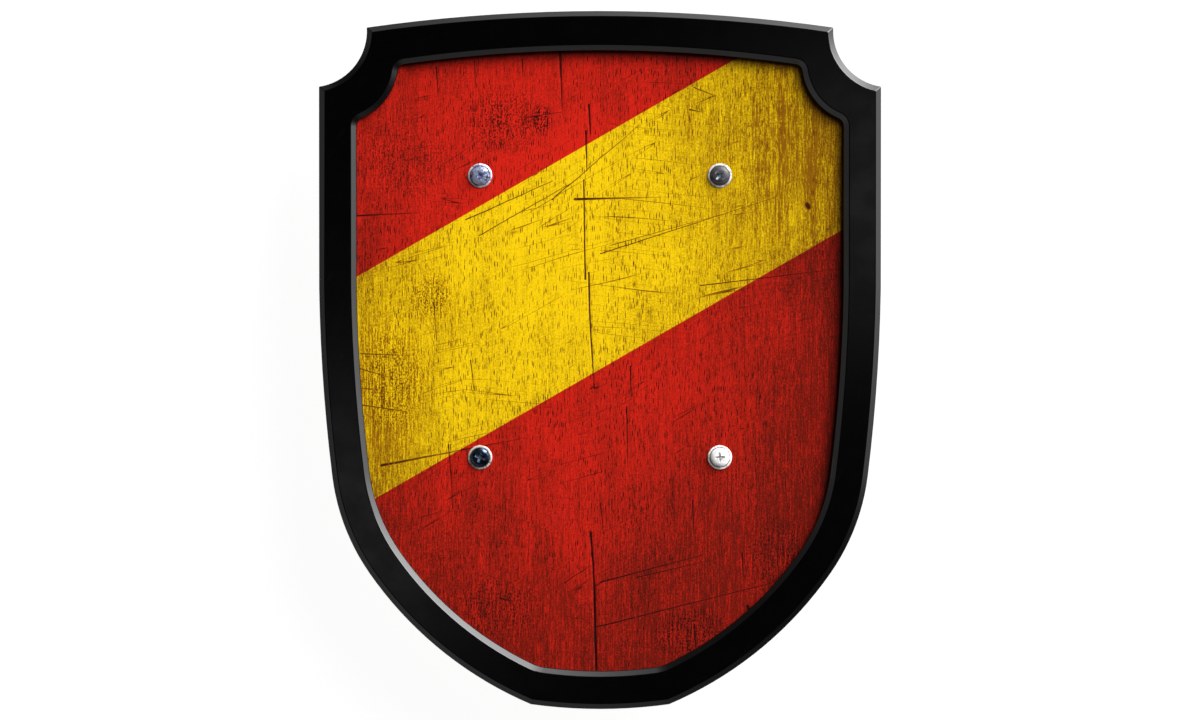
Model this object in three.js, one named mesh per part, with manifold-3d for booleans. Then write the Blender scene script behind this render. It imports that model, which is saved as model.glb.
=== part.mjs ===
// Wooden toy heater shield: a plywood board, a raised black rim glued round its front,
// and two leather arm straps held behind it by four machine screws with washers and cap nuts.
// Millimetres, +Z up. The shield lies on its straps with its front up: X runs across it,
// Y runs from its foot to its crown, and the origin is under the middle of its outline.
import * as THREE from "three";
import { mergeVertices } from "three/addons/utils/BufferGeometryUtils.js";
import Module from "manifold-3d";

// Outline of the shield: half of it, from the crown down to the foot.
const HEIGHT = 380;
const HALF_WIDTH = 153;
const CROWN_Y = HEIGHT / 2;
const FOOT_Y = -HEIGHT / 2;
const SIDE_STRAIGHT_END_Y = 53.6;
const SIDE_RADII = [947, 117.6, 204.6];
const SIDE_SWEEPS_DEG = [7.09, 27.75];
const OUTER = { crownY: CROWN_Y, topRadius: 900, topCornerX: 127, footCornerX: 37.6, footY: FOOT_Y };
const OUTER_NOTCH = { sideY: 148.8, radius: 30.6 };

// The rim: a flat frame with a chamfer along both of its front edges.
const RIM_WIDTH = 20.5;
const RIM_THICKNESS = 5;
const RIM_CHAMFER = 3;
const INNER = { crownY: 168.4, topRadius: 760, topCornerX: 109.8, footCornerX: 33.7, footY: -169.3 };
const INNER_NOTCH = { sideY: 130.5, radius: 33 };
const INNER_CORNER_ROUNDING = 3.5;

// Thicknesses, from the floor up.
const STRAP_THICKNESS = 3;
const ARM_GAP = 40;
const BOARD_THICKNESS = 6;
const BOARD_BACK_Z = STRAP_THICKNESS + ARM_GAP;
const FIELD_Z = BOARD_BACK_Z + BOARD_THICKNESS;

// Screws, in a rectangle; each strap spans one upper and one lower screw.
const SCREW_X = 65.3;
const SCREW_TOP_Y = 100.5;
const SCREW_LOW_Y = -53;
const HOLE_RADIUS = 3.3;
const SHANK_RADIUS = 3;
const SHANK_LENGTH = 16;
const SHANK_TIP_CHAMFER = 0.5;
const FLANGE_RADIUS = 6.6;
const FLANGE_THICKNESS = 0.8;
const DOME_RADIUS = 5.5;
const HEAD_HEIGHT = 2.9;
const RECESS_LENGTH = 6.2;
const RECESS_TIP_LENGTH = 2.4;
const RECESS_WIDTH = 1.4;
const RECESS_DEPTH = 2.2;

const WASHER_RADIUS = 9;
const WASHER_THICKNESS = 1.6;
const NUT_ACROSS_FLATS = 10;
const NUT_HEX_HEIGHT = 5.5;
const NUT_DOME_RADIUS = 4.7;
const NUT_HEIGHT = 12;
const NUT_BORE_DEPTH = 8;
const NUT_EDGE_CHAMFER = 0.5;

// Strap: a band with rounded ends that stands off the board in a flat-bottomed arch.
const STRAP_WIDTH = 28;
const STRAP_END_BEYOND_SCREW = 15;
const STRAP_BEND_BEFORE_SCREW = 11;
const STRAP_UPPER_BEND_RADIUS = 10;
const STRAP_LOWER_BEND_RADIUS = 22;
const STRAP_SLOPE = THREE.MathUtils.degToRad(60);

const ARC_TOLERANCE = 0.03;
const SMALL_ARC_SEGMENTS = 8;
const ROUND_SEGMENTS = 24;
const NEAR = 1e-4;

const wasm = await Module();
wasm.setup();

function toSolid(geometry) {
  const bare = geometry.clone();
  bare.deleteAttribute("normal");
  bare.deleteAttribute("uv");
  const merged = mergeVertices(bare, NEAR);
  return new wasm.Manifold(
    new wasm.Mesh({
      numProp: 3,
      vertProperties: merged.attributes.position.array,
      triVerts: new Uint32Array(merged.index.array),
    }),
  );
}

function toGeometry(solid) {
  const mesh = solid.getMesh();
  const geometry = new THREE.BufferGeometry();
  geometry.setAttribute("position", new THREE.BufferAttribute(mesh.vertProperties, 3));
  geometry.setIndex(new THREE.BufferAttribute(mesh.triVerts, 1));
  geometry.computeVertexNormals();
  return geometry;
}

// Arc through two points, bulging to the left of the way from one to the other.
function arcThrough(from, to, radius) {
  const chord = to.clone().sub(from);
  const left = new THREE.Vector2(-chord.y, chord.x).normalize();
  const rise = Math.sqrt(radius * radius - chord.lengthSq() / 4);
  const centre = from.clone().add(to).multiplyScalar(0.5).addScaledVector(left, -rise);
  return arcAbout(centre, from, to, radius);
}

function arcAbout(centre, from, to, radius) {
  const start = Math.atan2(from.y - centre.y, from.x - centre.x);
  const end = Math.atan2(to.y - centre.y, to.x - centre.x);
  const turn = Math.atan2(Math.sin(end - start), Math.cos(end - start));
  return { centre, radius, start, turn };
}

// Points along an arc, close enough that its chords stay within ARC_TOLERANCE of it.
// A length of it is left out at each end where its corner is rounded.
function arcPoints(arc, cutStart = 0, cutEnd = 0) {
  const widestStep = 2 * Math.acos(1 - ARC_TOLERANCE / arc.radius);
  const segments = Math.ceil(Math.abs(arc.turn) / widestStep);
  const way = Math.sign(arc.turn);
  const first = arc.start + (way * cutStart) / arc.radius;
  const last = arc.start + arc.turn - (way * cutEnd) / arc.radius;
  const curve = new THREE.EllipseCurve(
    arc.centre.x, arc.centre.y, arc.radius, arc.radius, first, last, way < 0,
  );
  return curve.getPoints(segments);
}

function roundedCorner(before, corner, after) {
  return new THREE.QuadraticBezierCurve(before, corner, after).getPoints(SMALL_ARC_SEGMENTS / 2);
}

// The three tangent arcs of one side below its straight stretch, drawn in by `inset`.
function sideArcs(inset) {
  const arcs = [];
  let angle = 0;
  let centre = new THREE.Vector2(HALF_WIDTH - SIDE_RADII[0], SIDE_STRAIGHT_END_Y);
  SIDE_RADII.forEach((radius, i) => {
    const sweep = THREE.MathUtils.degToRad(SIDE_SWEEPS_DEG[i] ?? 90);
    arcs.push({ centre, radius: radius - inset, start: -angle, turn: -sweep });
    angle += sweep;
    const next = SIDE_RADII[i + 1];
    if (next) {
      const along = new THREE.Vector2(Math.cos(angle), -Math.sin(angle));
      centre = centre.clone().addScaledVector(along, radius - next);
    }
  });
  return arcs;
}

// Closed outline, anticlockwise. Its right half runs from the crown to the foot and is then mirrored.
function shieldOutline(top, notch, inset, rounding) {
  const topCentre = new THREE.Vector2(0, top.crownY - top.topRadius);
  const topCorner = new THREE.Vector2(
    top.topCornerX,
    topCentre.y + Math.sqrt(top.topRadius ** 2 - top.topCornerX ** 2),
  );
  const notchCorner = new THREE.Vector2(HALF_WIDTH - inset, notch.sideY);
  const crown = arcAbout(topCentre, new THREE.Vector2(0, top.crownY), topCorner, top.topRadius);
  const scoop = arcThrough(notchCorner, topCorner, notch.radius);
  const scoopDown = { ...scoop, start: scoop.start + scoop.turn, turn: -scoop.turn };

  const [upper, middle, lower] = sideArcs(inset);
  lower.turn = -Math.acos((top.footCornerX - lower.centre.x) / lower.radius) - lower.start;
  const footCornerY = lower.centre.y + lower.radius * Math.sin(lower.start + lower.turn);
  const footCorner = new THREE.Vector2(top.footCornerX, footCornerY);
  const sag = footCornerY - top.footY;
  const footRadius = (top.footCornerX ** 2 + sag ** 2) / (2 * sag);
  const footCentre = new THREE.Vector2(0, top.footY + footRadius);
  const foot = arcAbout(footCentre, footCorner, new THREE.Vector2(0, top.footY), footRadius);

  const crownRun = arcPoints(crown, 0, rounding);
  const scoopRun = arcPoints(scoopDown, rounding, rounding);
  const belowNotch = notchCorner.clone().sub(new THREE.Vector2(0, rounding));
  const lowerRun = arcPoints(lower, 0, rounding);
  const footRun = arcPoints(foot, rounding, 0);
  const right = [
    ...crownRun,
    ...roundedCorner(crownRun.at(-1), topCorner, scoopRun[0]),
    ...scoopRun,
    ...roundedCorner(scoopRun.at(-1), notchCorner, belowNotch),
    ...arcPoints(upper),
    ...arcPoints(middle),
    ...lowerRun,
    ...roundedCorner(lowerRun.at(-1), footCorner, footRun[0]),
    ...footRun,
  ];
  const left = right.slice().reverse().map((p) => new THREE.Vector2(-p.x, p.y));
  const loop = [...right, ...left].reverse();
  return loop.filter((p, i) => p.distanceTo(loop.at(i - 1)) > NEAR * 10);
}

const outerOutline = shieldOutline(OUTER, OUTER_NOTCH, 0, 0);
const innerOutline = shieldOutline(INNER, INNER_NOTCH, RIM_WIDTH, INNER_CORNER_ROUNDING);

const screwPlaces = [
  { name: "top_left", x: -SCREW_X, y: SCREW_TOP_Y },
  { name: "top_right", x: SCREW_X, y: SCREW_TOP_Y },
  { name: "bottom_left", x: -SCREW_X, y: SCREW_LOW_Y },
  { name: "bottom_right", x: SCREW_X, y: SCREW_LOW_Y },
];

function circleHole(x, y, radius) {
  const hole = new THREE.Path();
  hole.absarc(x, y, radius, 0, 2 * Math.PI);
  return hole;
}

// Plywood board with its screw holes; local z 0 is its back.
function boardGeometry() {
  const shape = new THREE.Shape(outerOutline);
  screwPlaces.forEach(({ x, y }) => shape.holes.push(circleHole(x, y, HOLE_RADIUS)));
  const curveSegments = ROUND_SEGMENTS / 2;
  return new THREE.ExtrudeGeometry(shape, { depth: BOARD_THICKNESS, bevelEnabled: false, curveSegments });
}

// Rim; local z 0 is its glued back. An extrusion is chamfered at both ends, so its back end is cut away.
function rimGeometry() {
  const shape = new THREE.Shape(outerOutline);
  shape.holes.push(new THREE.Path(innerOutline));
  const bar = new THREE.ExtrudeGeometry(shape, {
    depth: RIM_THICKNESS - RIM_CHAMFER,
    bevelThickness: RIM_CHAMFER,
    bevelSize: RIM_CHAMFER,
    bevelOffset: -RIM_CHAMFER,
    bevelSegments: 1,
  });
  const front = new THREE.BoxGeometry(2 * HEIGHT, 2 * HEIGHT, 2 * RIM_THICKNESS);
  front.translate(0, 0, RIM_THICKNESS);
  return toGeometry(toSolid(bar).intersect(toSolid(front)));
}

// A solid turned about the Z axis from [radius, height] pairs that run from its low end to its top.
function turned(profile) {
  const points = profile.map(([radius, height]) => new THREE.Vector2(radius, height));
  return new THREE.LatheGeometry(points, ROUND_SEGMENTS).rotateX(Math.PI / 2);
}

// Dome from the edge up to the axis, as part of a turned profile.
function domeProfile(edgeRadius, edgeHeight, topHeight, steps) {
  return Array.from({ length: steps }, (_, i) => {
    const angle = ((i + 1) / steps) * (Math.PI / 2);
    const rise = (topHeight - edgeHeight) * Math.sin(angle);
    return [i + 1 === steps ? 0 : edgeRadius * Math.cos(angle), edgeHeight + rise];
  });
}

// One pair of wings of the cross recess, tapered towards its tip, cut down from height `top`.
function recessWing(top) {
  const side = new THREE.Shape([
    new THREE.Vector2(-RECESS_TIP_LENGTH / 2, top - RECESS_DEPTH),
    new THREE.Vector2(RECESS_TIP_LENGTH / 2, top - RECESS_DEPTH),
    new THREE.Vector2(RECESS_LENGTH / 2, top + RECESS_DEPTH / 2),
    new THREE.Vector2(-RECESS_LENGTH / 2, top + RECESS_DEPTH / 2),
  ]);
  const wing = new THREE.ExtrudeGeometry(side, { depth: RECESS_WIDTH, bevelEnabled: false });
  return wing.translate(0, 0, -RECESS_WIDTH / 2).rotateX(Math.PI / 2);
}

// Flanged pan-head screw; local z 0 is the underside of its flange.
function screwGeometry() {
  const body = turned([
    [0, -SHANK_LENGTH],
    [SHANK_RADIUS - SHANK_TIP_CHAMFER, -SHANK_LENGTH],
    [SHANK_RADIUS, SHANK_TIP_CHAMFER - SHANK_LENGTH],
    [SHANK_RADIUS, 0],
    [FLANGE_RADIUS, 0],
    [FLANGE_RADIUS, FLANGE_THICKNESS],
    [DOME_RADIUS, FLANGE_THICKNESS],
    ...domeProfile(DOME_RADIUS, FLANGE_THICKNESS, HEAD_HEIGHT, 5),
  ]);
  const across = toSolid(recessWing(HEAD_HEIGHT));
  const along = toSolid(recessWing(HEAD_HEIGHT).rotateZ(Math.PI / 2));
  return toGeometry(toSolid(body).subtract(across.add(along)));
}

// Flat washer; local z 0 is the face against the strap, and it reaches down from there.
function washerGeometry() {
  return turned([
    [HOLE_RADIUS, -WASHER_THICKNESS],
    [WASHER_RADIUS, -WASHER_THICKNESS],
    [WASHER_RADIUS, 0],
    [HOLE_RADIUS, 0],
    [HOLE_RADIUS, -WASHER_THICKNESS],
  ]);
}

// Domed cap nut with a blind bore; local z 0 is the face against the washer.
function capNutGeometry() {
  const cornerRadius = NUT_ACROSS_FLATS / 2 / Math.cos(Math.PI / 6);
  const hexagon = new THREE.CylinderGeometry(cornerRadius, cornerRadius, NUT_HEX_HEIGHT, 6);
  hexagon.rotateX(Math.PI / 2).translate(0, 0, -NUT_HEX_HEIGHT / 2);
  const chamfered = turned([
    [0, -NUT_HEX_HEIGHT],
    [cornerRadius - NUT_EDGE_CHAMFER, -NUT_HEX_HEIGHT],
    [cornerRadius + NUT_EDGE_CHAMFER, -NUT_HEX_HEIGHT + 2 * NUT_EDGE_CHAMFER],
    [cornerRadius + NUT_EDGE_CHAMFER, 0],
    [0, 0],
  ]);
  const dome = turned([
    [0, NUT_HEX_HEIGHT - NUT_EDGE_CHAMFER],
    [NUT_DOME_RADIUS, NUT_HEX_HEIGHT - NUT_EDGE_CHAMFER],
    ...domeProfile(NUT_DOME_RADIUS, NUT_HEX_HEIGHT, NUT_HEIGHT, 5),
  ]).rotateX(Math.PI);
  const bore = new THREE.CylinderGeometry(HOLE_RADIUS, HOLE_RADIUS, 2 * NUT_BORE_DEPTH, ROUND_SEGMENTS);
  bore.rotateX(Math.PI / 2);
  const outside = toSolid(hexagon).intersect(toSolid(chamfered)).add(toSolid(dome));
  return toGeometry(outside.subtract(toSolid(bore)));
}

// One long side of the strap's arch, seen from its edge, at `offset` from the middle of the leather.
// u runs along the strap from the middle of the arch, and v up from the floor.
function strapSide(offset) {
  const crownV = STRAP_THICKNESS / 2;
  const tabV = BOARD_BACK_Z - STRAP_THICKNESS / 2;
  const halfSpan = (SCREW_TOP_Y - SCREW_LOW_Y) / 2;
  const bendU = halfSpan - STRAP_BEND_BEFORE_SCREW;
  const radii = STRAP_UPPER_BEND_RADIUS + STRAP_LOWER_BEND_RADIUS;
  const slopeLength =
    (tabV - crownV - radii * (1 - Math.cos(STRAP_SLOPE))) / Math.sin(STRAP_SLOPE);
  const flatU = bendU - radii * Math.sin(STRAP_SLOPE) - slopeLength * Math.cos(STRAP_SLOPE);
  const down = -Math.PI / 2;
  const up = Math.PI / 2;
  const half = new THREE.Path();
  half.absarc(
    flatU, crownV + STRAP_LOWER_BEND_RADIUS, STRAP_LOWER_BEND_RADIUS - offset,
    down, down + STRAP_SLOPE, false,
  );
  half.absarc(
    bendU, tabV - STRAP_UPPER_BEND_RADIUS, STRAP_UPPER_BEND_RADIUS + offset,
    up + STRAP_SLOPE, up, true,
  );
  half.lineTo(halfSpan + STRAP_END_BEYOND_SCREW, tabV + offset);
  const right = half.getPoints(SMALL_ARC_SEGMENTS / 2);
  const left = right.slice().reverse().map((p) => new THREE.Vector2(-p.x, p.y));
  return [...left, ...right];
}

// Strap; local origin on the floor under the middle of its arch, its length along Y.
function strapGeometry() {
  const side = [...strapSide(-STRAP_THICKNESS / 2), ...strapSide(STRAP_THICKNESS / 2).reverse()];
  const band = new THREE.ExtrudeGeometry(new THREE.Shape(side), { depth: STRAP_WIDTH, bevelEnabled: false });
  band.translate(0, 0, -STRAP_WIDTH / 2);
  band.applyMatrix4(
    new THREE.Matrix4().makeBasis(
      new THREE.Vector3(0, 1, 0), new THREE.Vector3(0, 0, 1), new THREE.Vector3(1, 0, 0),
    ),
  );
  const halfSpan = (SCREW_TOP_Y - SCREW_LOW_Y) / 2;
  const endRadius = STRAP_WIDTH / 2;
  const endCentre = halfSpan + STRAP_END_BEYOND_SCREW - endRadius;
  const plan = new THREE.Shape();
  plan.absarc(0, endCentre, endRadius, 0, Math.PI);
  plan.absarc(0, -endCentre, endRadius, Math.PI, 2 * Math.PI);
  const punch = new THREE.ExtrudeGeometry(plan, {
    depth: 2 * BOARD_BACK_Z, bevelEnabled: false, curveSegments: SMALL_ARC_SEGMENTS,
  });
  punch.translate(0, 0, -BOARD_BACK_Z / 2);
  let strap = toSolid(band).intersect(toSolid(punch));
  for (const y of [-halfSpan, halfSpan]) {
    const drill = new THREE.CylinderGeometry(HOLE_RADIUS, HOLE_RADIUS, 4 * STRAP_THICKNESS, ROUND_SEGMENTS);
    drill.rotateX(Math.PI / 2).translate(0, y, BOARD_BACK_Z - STRAP_THICKNESS / 2);
    strap = strap.subtract(toSolid(drill));
  }
  return toGeometry(strap);
}

const material = {
  paintedWood: new THREE.MeshStandardMaterial({ color: 0xc8201a, roughness: 0.55, metalness: 0 }),
  blackPaint: new THREE.MeshStandardMaterial({ color: 0x050506, roughness: 0.3, metalness: 0 }),
  zinc: new THREE.MeshStandardMaterial({ color: 0xc4c8cf, roughness: 0.25, metalness: 1 }),
  leather: new THREE.MeshStandardMaterial({ color: 0x4a2a18, roughness: 0.6, metalness: 0 }),
};

function namedMesh(name, geometry, finish, z = 0) {
  const mesh = new THREE.Mesh(geometry, finish);
  mesh.name = name;
  mesh.position.z = z;
  return mesh;
}

const shield = new THREE.Group();
shield.add(namedMesh("board", boardGeometry(), material.paintedWood, BOARD_BACK_Z));
shield.add(namedMesh("rim", rimGeometry(), material.blackPaint, FIELD_Z));

const strapFace = BOARD_BACK_Z - STRAP_THICKNESS;
for (const { name, x, y } of screwPlaces) {
  const fastener = new THREE.Group();
  fastener.position.set(x, y, 0);
  fastener.add(namedMesh(`screw_${name}`, screwGeometry(), material.zinc, FIELD_Z));
  fastener.add(namedMesh(`washer_${name}`, washerGeometry(), material.zinc, strapFace));
  const nutFace = strapFace - WASHER_THICKNESS;
  fastener.add(namedMesh(`cap_nut_${name}`, capNutGeometry(), material.zinc, nutFace));
  shield.add(fastener);
}

for (const [name, x] of [["left", -SCREW_X], ["right", SCREW_X]]) {
  const holder = new THREE.Group();
  holder.position.set(x, (SCREW_TOP_Y + SCREW_LOW_Y) / 2, 0);
  holder.add(namedMesh(`strap_${name}`, strapGeometry(), material.leather));
  shield.add(holder);
}

export default shield;
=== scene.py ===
import math

import bmesh
import bpy
from mathutils import Matrix, Vector, noise
from mathutils.bvhtree import BVHTree


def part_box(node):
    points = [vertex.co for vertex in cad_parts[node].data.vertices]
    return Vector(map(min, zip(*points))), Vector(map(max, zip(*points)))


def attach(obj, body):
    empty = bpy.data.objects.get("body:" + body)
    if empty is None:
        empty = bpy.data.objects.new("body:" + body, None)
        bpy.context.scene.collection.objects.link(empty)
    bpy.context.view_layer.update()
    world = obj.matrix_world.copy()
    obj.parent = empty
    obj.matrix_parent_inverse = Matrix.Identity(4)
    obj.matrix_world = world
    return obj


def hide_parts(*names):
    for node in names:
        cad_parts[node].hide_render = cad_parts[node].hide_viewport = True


# A toy heater shield: a painted plywood board in a black rim, with four screws that hold two
# leather arm straps behind it. It lies on its straps with its front up. X runs across it, Y from
# its foot to its crown, and the origin is on the floor under its middle. The scene is in metres.

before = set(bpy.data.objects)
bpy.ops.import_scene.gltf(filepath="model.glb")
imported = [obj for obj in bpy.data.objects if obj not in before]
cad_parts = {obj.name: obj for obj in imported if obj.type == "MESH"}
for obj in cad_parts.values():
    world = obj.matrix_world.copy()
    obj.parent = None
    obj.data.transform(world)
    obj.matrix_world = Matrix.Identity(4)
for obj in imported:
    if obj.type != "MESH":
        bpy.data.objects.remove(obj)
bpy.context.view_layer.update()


# ---------------------------------------------------------------- the camera
# It hangs over the middle of the shield and looks straight down, with the crown at the top
# of the picture. The lens is long, so that the rim's chamfers look equally wide all round.

SENSOR_WIDTH = 36.0
LENS = 135.0
VIEW_HEIGHT = 0.3918
PICTURE_WIDTH_TO_HEIGHT = 1200 / 720

rim_low, rim_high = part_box("rim")
camera_rise = VIEW_HEIGHT * PICTURE_WIDTH_TO_HEIGHT * LENS / SENSOR_WIDTH
camera_data = bpy.data.cameras.new("camera")
camera_data.sensor_width = SENSOR_WIDTH
camera_data.lens = LENS
camera = bpy.data.objects.new("camera", camera_data)
camera.location = (0, 0, (rim_low.z + rim_high.z) / 2 + camera_rise)
bpy.context.scene.collection.objects.link(camera)
bpy.context.scene.camera = camera
bpy.context.scene.view_settings.view_transform = "Standard"


# ---------------------------------------------------------------- the floor
# A plain sheet of pale paper, lit partly from within so that shadows stay faint on it. It is clear
# from below, so that the straps can be looked at, and in gloss, which mirrors the studio instead.

FLOOR_SIZE = 16.0
FLOOR_GLOW = 0.95
FLOOR_COLOUR = (0.1, 0.1, 0.1, 1)
FLOOR_FIBRES = (0.09, 0.09, 0.09, 1)


def place(tree, kind, inputs=None, **settings):
    """Adds a node, with values or other nodes' sockets as its inputs."""
    made = tree.nodes.new(kind)
    for name, value in settings.items():
        setattr(made, name, value)
    for socket, value in (inputs or {}).items():
        if isinstance(value, bpy.types.NodeSocket):
            tree.links.new(value, made.inputs[socket])
        else:
            made.inputs[socket].default_value = value
    return made


def calc(tree, operation, a, b=0.0, clamp=False):
    """A Math node's result."""
    return place(tree, "ShaderNodeMath", {0: a, 1: b}, operation=operation, use_clamp=clamp).outputs[0]


def times(tree, a, b):
    return calc(tree, "MULTIPLY", a, b)


def plus(tree, a, b):
    return calc(tree, "ADD", a, b)


def minus(tree, a, b):
    return calc(tree, "SUBTRACT", a, b)


def vector(tree, operation, a, b=(0, 0, 0), out="Vector", **inputs):
    """A Vector Math node's result."""
    return place(tree, "ShaderNodeVectorMath", {0: a, 1: b, **inputs}, operation=operation).outputs[out]


def fade(tree, value, low, high, to_low=0.0, to_high=1.0):
    """Value taken smoothly from low..high to to_low..to_high, and no further."""
    inputs = {"Value": value, "From Min": low, "From Max": high, "To Min": to_low, "To Max": to_high}
    return place(tree, "ShaderNodeMapRange", inputs, interpolation_type="SMOOTHSTEP").outputs[0]


def tint(tree, amount, a, b):
    """Colour a changed towards colour b. A Mix node's colour sockets are its 6th and 7th."""
    return place(tree, "ShaderNodeMix", {0: amount, 6: a, 7: b}, data_type="RGBA").outputs[2]


def new_finish(name):
    """A new material: the material, its tree, its Principled shader and its Object coordinates."""
    material = bpy.data.materials.new(name)
    material.use_nodes = True
    tree = material.node_tree
    coords = place(tree, "ShaderNodeTexCoord").outputs["Object"]
    return material, tree, tree.nodes["Principled BSDF"], coords


def feed(shader, socket, value):
    """Gives the shader a value that changes over the surface."""
    shader.id_data.links.new(value, shader.inputs[socket])


def new_group(name, inputs, outputs):
    """A node group: inputs are name: default, a number or a vector, and outputs are numbers."""
    group = bpy.data.node_groups.new(name, "ShaderNodeTree")
    for title, default in inputs.items():
        kind = "NodeSocketVector" if isinstance(default, tuple) else "NodeSocketFloat"
        group.interface.new_socket(title, in_out="INPUT", socket_type=kind).default_value = default
    for title in outputs:
        group.interface.new_socket(title, in_out="OUTPUT", socket_type="NodeSocketFloat")
    given = group.nodes.new("NodeGroupInput").outputs
    result = group.nodes.new("NodeGroupOutput").inputs
    return group, given, result


def grouped(tree, group, values):
    """What a node group puts out, placed in a tree with its values."""
    return place(tree, "ShaderNodeGroup", values, node_tree=group).outputs


# mottle: cloudy noise stretched along the axes, about 0.3 to 0.7 round a middle of 0.5
mottle, given, result = new_group(
    "mottle",
    {"Place": (0, 0, 0), "Stretch": (1, 1, 1), "Shift": (0, 0, 0), "Detail": 3.0, "Roughness": 0.5},
    ["Value"],
)
stretched = vector(mottle, "MULTIPLY", given["Place"], given["Stretch"])
shifted = vector(mottle, "ADD", stretched, given["Shift"])
clouds = place(mottle, "ShaderNodeTexNoise", {
    "Vector": shifted, "Scale": 1.0, "Detail": given["Detail"], "Roughness": given["Roughness"],
})
mottle.links.new(clouds.outputs[0], result["Value"])


def mottled(tree, coords, stretch, detail=3.0, roughness=0.5, shift=(0, 0, 0)):
    """The mottle group placed in a tree."""
    values = {"Place": coords, "Stretch": stretch, "Shift": shift, "Detail": detail, "Roughness": roughness}
    return grouped(tree, mottle, values)[0]


floor_paper, tree, shader, coords = new_finish("floor paper")
paper_fibres = mottled(tree, coords, (900, 900, 900), detail=4)
paper = tint(tree, fade(tree, paper_fibres, 0.4, 0.6), FLOOR_COLOUR, FLOOR_FIBRES)
feed(shader, "Base Color", paper)
shader.inputs["Roughness"].default_value = 0.9
shader.inputs["Specular IOR Level"].default_value = 0.0
shader.inputs["Emission Color"].default_value = (1, 1, 1, 1)
shader.inputs["Emission Strength"].default_value = FLOOR_GLOW
mirrored = place(tree, "ShaderNodeLightPath").outputs["Is Glossy Ray"]
from_below = place(tree, "ShaderNodeNewGeometry").outputs["Backfacing"]
unseen = calc(tree, "MAXIMUM", mirrored, from_below)
clear = place(tree, "ShaderNodeBsdfTransparent").outputs[0]
sheet = place(tree, "ShaderNodeMixShader", {0: unseen, 1: shader.outputs[0], 2: clear})
tree.links.new(sheet.outputs[0], tree.nodes["Material Output"].inputs["Surface"])

bm = bmesh.new()
bmesh.ops.create_grid(bm, x_segments=1, y_segments=1, size=FLOOR_SIZE / 2)
floor_mesh = bpy.data.meshes.new("floor")
bm.to_mesh(floor_mesh)
bm.free()
floor_mesh.materials.append(floor_paper)
floor = bpy.data.objects.new("floor", floor_mesh)
bpy.context.scene.collection.objects.link(floor)


# ---------------------------------------------------------------- the light
# A large soft lamp to the upper right, and a studio that is dark overhead and bright low down,
# most of all behind the lamp. Two dim panels overhead lay a faint sheen on the rim.

LAMP_BEARING = math.radians(45)
LAMP_HEIGHT = math.radians(33)
LAMP_SPREAD = math.radians(44)
LAMP_STRENGTH = 4.75
LOW_LIGHT = 10.0
LOW_LIGHT_FOCUS = 4.8
FAR_LIGHT = 0.42
ROUND_LIGHT = 0.10
OVERHEAD_LIGHT = 0.004
# the low light fades out over these heights (as sines), and weakens below the horizon
FADES_OUT = (0.12, 0.85)
WEAKENS = (-0.09, 0.03)
BELOW_SHARE = 0.75
PANEL_GLOW = 0.62
PANEL_CORE = math.radians(0.2)
PANEL_EDGE = math.radians(2.0)
# the places on the rim where the two panels show
panel_places = [(0.150, 0.092), (-0.132, -0.085)]

lamp_data = bpy.data.lights.new("lamp", "SUN")
lamp_data.energy = LAMP_STRENGTH
lamp_data.angle = LAMP_SPREAD
lamp = bpy.data.objects.new("lamp", lamp_data)
lamp_way = Vector((
    math.cos(LAMP_BEARING) * math.cos(LAMP_HEIGHT),
    math.sin(LAMP_BEARING) * math.cos(LAMP_HEIGHT),
    math.sin(LAMP_HEIGHT),
))
lamp.rotation_euler = lamp_way.to_track_quat("Z", "Y").to_euler()
bpy.context.scene.collection.objects.link(lamp)


def lean(tree, way, aim):
    """How far a direction points the way of aim: 1 along it and 0 square to it."""
    return vector(tree, "DOT_PRODUCT", way, aim, out="Value")


world = bpy.data.worlds.new("studio")
bpy.context.scene.world = world
world.use_nodes = True
tree = world.node_tree
way = place(tree, "ShaderNodeTexCoord").outputs["Generated"]
towards = lean(tree, way, (math.cos(LAMP_BEARING), math.sin(LAMP_BEARING), 0))
behind_lamp = calc(tree, "POWER", calc(tree, "MAXIMUM", towards, 0.0), LOW_LIGHT_FOCUS)
far_side = calc(tree, "MAXIMUM", times(tree, towards, -1.0), 0.0)
glow = plus(tree, times(tree, behind_lamp, LOW_LIGHT), ROUND_LIGHT)
glow = plus(tree, glow, times(tree, far_side, FAR_LIGHT))
rise = lean(tree, way, (0, 0, 1))
fades_out = fade(tree, rise, *FADES_OUT, 1.0, 0.0)
low_down = times(tree, fades_out, fade(tree, rise, *WEAKENS, BELOW_SHARE, 1.0))
glow = plus(tree, times(tree, glow, low_down), OVERHEAD_LIGHT)
for x, y in panel_places:
    aim = Vector((x, y, camera_rise)).normalized()
    panel = fade(tree, lean(tree, way, tuple(aim)), math.cos(PANEL_EDGE), math.cos(PANEL_CORE))
    glow = plus(tree, glow, times(tree, panel, PANEL_GLOW))
seen = place(tree, "ShaderNodeLightPath").outputs["Is Camera Ray"]
strength = plus(tree, times(tree, minus(tree, 1.0, seen), glow), seen)
tree.links.new(strength, tree.nodes["Background"].inputs["Strength"])
tree.nodes["Background"].inputs["Color"].default_value = (1, 1, 1, 1)


# ---------------------------------------------------------------- the board
# Six-millimetre birch plywood, sawn to the shield's outline and drilled for the four screws. Its
# front is printed red with a yellow diagonal band and made to look old, with split and scratched
# grain cut into it. Its sawn edge shows the plies and its back is left bare.

MM = 0.001
SAME_PLACE = 0.01 * MM
SAME_WAY = math.radians(0.5)
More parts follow.
